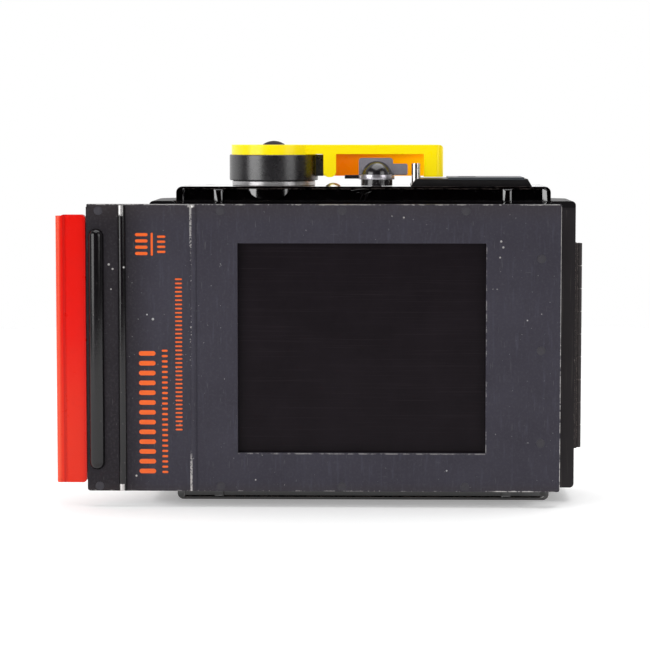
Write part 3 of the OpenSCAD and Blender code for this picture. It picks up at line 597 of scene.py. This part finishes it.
def dash(u, v):
    """A bar with rounded ends that fills the box u by v, in mm."""
    r = min(u[1] - u[0], v[1] - v[0]) / 2
    points = []
    for cu, cv, start in ((u[1] - r, v[1] - r, 0), (u[0] + r, v[1] - r, 90),
                          (u[0] + r, v[0] + r, 180), (u[1] - r, v[0] + r, 270)):
        for k in range(7):
            a = math.radians(start + 15 * k)
            points.append(Vector((cu + r * math.cos(a), cv + r * math.sin(a))))
    return points, [tuple(range(len(points)))]


def printed(name, shapes, place, mat, body):
    """Flat shapes, (points, faces) in mm, put on the object by place(u, v)."""
    bm = bmesh.new()
    for points, faces in shapes:
        new = [bm.verts.new(place(c[0] / 1000, c[1] / 1000)) for c in points]
        for f in faces:
            bm.faces.new([new[i] for i in f])
    bm.normal_update()
    me = bpy.data.meshes.new(name)
    bm.to_mesh(me)
    bm.free()
    me.materials.append(mat)
    o = bpy.data.objects.new(name, me)
    scene.collection.objects.link(o)
    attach(o, body)


def dashes(lo, hi, v, length, gap):
    """A row of equal dashes from lo to hi."""
    count = round((hi - lo + gap) / (length + gap))
    pitch = (hi - lo + gap) / count
    return [dash((lo + i * pitch, lo + (i + 1) * pitch - gap), v) for i in range(count)]


# Rows of ticks: where a row starts and ends up the plate, its near and far side from the
# window's centre towards the slide's end, and a tick's thickness and the gap after it
TICK_ROWS = (
    (26.8, 33.1, 61.3, 64.9, 0.8, 0.9), (27.4, 32.4, 56.2, 58.6, 0.7, 0.8),
    (-36.2, -0.8, 59.2, 64.0, 1.3, 1.5), (-36.1, -0.4, 55.7, 57.4, 0.6, 0.9),
    (-23.7, 20.1, 51.5, 53.5, 0.45, 0.75))
INK_H = 0.00002
ticks = [dash((26.6, 33.2), (59.8, 60.4))]
for start, end, near, far, thick, gap in TICK_ROWS:
    ticks += dashes(start, end, (near, far), thick, gap)
printed("plate_marks", ticks, lambda u, v: (-v, -INK_H, u),
        ink("orange_ink", (0.85, 0.095, 0.006), (0.90, 0.15, 0.008)),
        "front_frame")

dial_lo, dial_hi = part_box("counter_dial")
dial_c = (dial_lo + dial_hi) / 2
dial_r = (dial_hi.x - dial_lo.x) / 2
BLACK_INK = ink("black_ink", (0.02, 0.02, 0.02), (0.03, 0.03, 0.03), 0.8)
NUMBER_H = 2.3
DIAL_NUMBERS = 12
for i in range(DIAL_NUMBERS):
    turn = math.radians(90 - i * 360 / DIAL_NUMBERS)
    points, faces = outline(str(i + 1))
    mid = (min(c[0] for c in points) + max(c[0] for c in points)) / 2

    def on_dial(u, v, a=turn):
        r = dial_r - 0.0032 + v
        return (dial_c.x + r * math.cos(a) + u * math.sin(a),
                dial_c.y + r * math.sin(a) - u * math.cos(a), dial_hi.z + INK_H / 2)
    centred = [(c - Vector((mid, 0))) * NUMBER_H for c in points]
    printed(f"dial_number_{i + 1}", [(centred, faces)], on_dial, BLACK_INK, "counter")

# ---- Stage ----

FLOOR_R = 0.6
FLOOR_Y = 0.05
FLOOR_SIDES = 96
floor_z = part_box("bottom_cover")[0].z
me = bpy.data.meshes.new("floor")
rim = [math.tau * i / FLOOR_SIDES for i in range(FLOOR_SIDES)]
me.from_pydata([(FLOOR_R * math.cos(a), FLOOR_Y + FLOOR_R * math.sin(a), floor_z) for a in rim],
               [], [tuple(range(FLOOR_SIDES))])
floor = bpy.data.objects.new("floor", me)
scene.collection.objects.link(floor)
fm = Mat("floor_white", (0.86, 0.86, 0.86), 0.9, Specular_IOR_Level=0.1)
fm.color(fm.mix(fm.noise(0.004, 3), (0.87, 0.87, 0.87), (0.84, 0.84, 0.84)))
fm.b.inputs["Emission Color"].default_value = (1, 1, 1, 1)
fm.b.inputs["Emission Strength"].default_value = 0.3
me.materials.append(fm.m)

# A white room behind the object that fades to dark on the camera's side, white to the camera
DARK_Y = -0.30
WHITE_Y = 0.35
world = bpy.data.worlds.new("studio")
scene.world = world
world.use_nodes = True
wt = world.node_tree
background = wt.nodes["Background"]
coords = wt.nodes.new("ShaderNodeTexCoord")
axes = wt.nodes.new("ShaderNodeSeparateXYZ")
fade = wt.nodes.new("ShaderNodeMapRange")
fade.interpolation_type = "SMOOTHSTEP"
fade.inputs["From Min"].default_value = DARK_Y
fade.inputs["From Max"].default_value = WHITE_Y
path = wt.nodes.new("ShaderNodeLightPath")
either = wt.nodes.new("ShaderNodeMath")
either.operation = "MAXIMUM"
wt.links.new(coords.outputs["Generated"], axes.inputs[0])
wt.links.new(axes.outputs["Y"], fade.inputs["Value"])
wt.links.new(fade.outputs["Result"], either.inputs[0])
wt.links.new(path.outputs["Is Camera Ray"], either.inputs[1])
wt.links.new(either.outputs[0], background.inputs["Strength"])
background.inputs["Color"].default_value = (1, 1, 1, 1)


def soft_box(name, at, look, size, power):
    la = bpy.data.lights.new(name, "AREA")
    la.shape = "RECTANGLE"
    la.size, la.size_y = size
    la.energy = power
    o = bpy.data.objects.new(name, la)
    scene.collection.objects.link(o)
    o.location = at
    o.rotation_euler = (Vector(look) - Vector(at)).to_track_quat("-Z", "Y").to_euler()
    o.visible_camera = False


soft_box("light_left", (-0.88, -0.74, 0.30), (0, 0, 0.02), (0.75, 0.8), 7.0)
soft_box("light_right", (0.86, -0.83, 0.40), (0, 0, 0.02), (0.6, 0.9), 3.6)
soft_box("light_top", (0.1, -0.1, 1.2), (0, 0, 0), (1.4, 1.0), 10)

cam = bpy.data.cameras.new("camera")
cam.sensor_width = 36
cam.lens = 135.3
cam.clip_start = 0.01
camera = bpy.data.objects.new("camera", cam)
scene.collection.objects.link(camera)
camera.location = (0.00533, -0.69752, 0.06355)
look_at = Vector((-0.0105, 0, 0.0068))
camera.rotation_euler = (look_at - camera.location).to_track_quat("-Z", "Y").to_euler()
scene.camera = camera
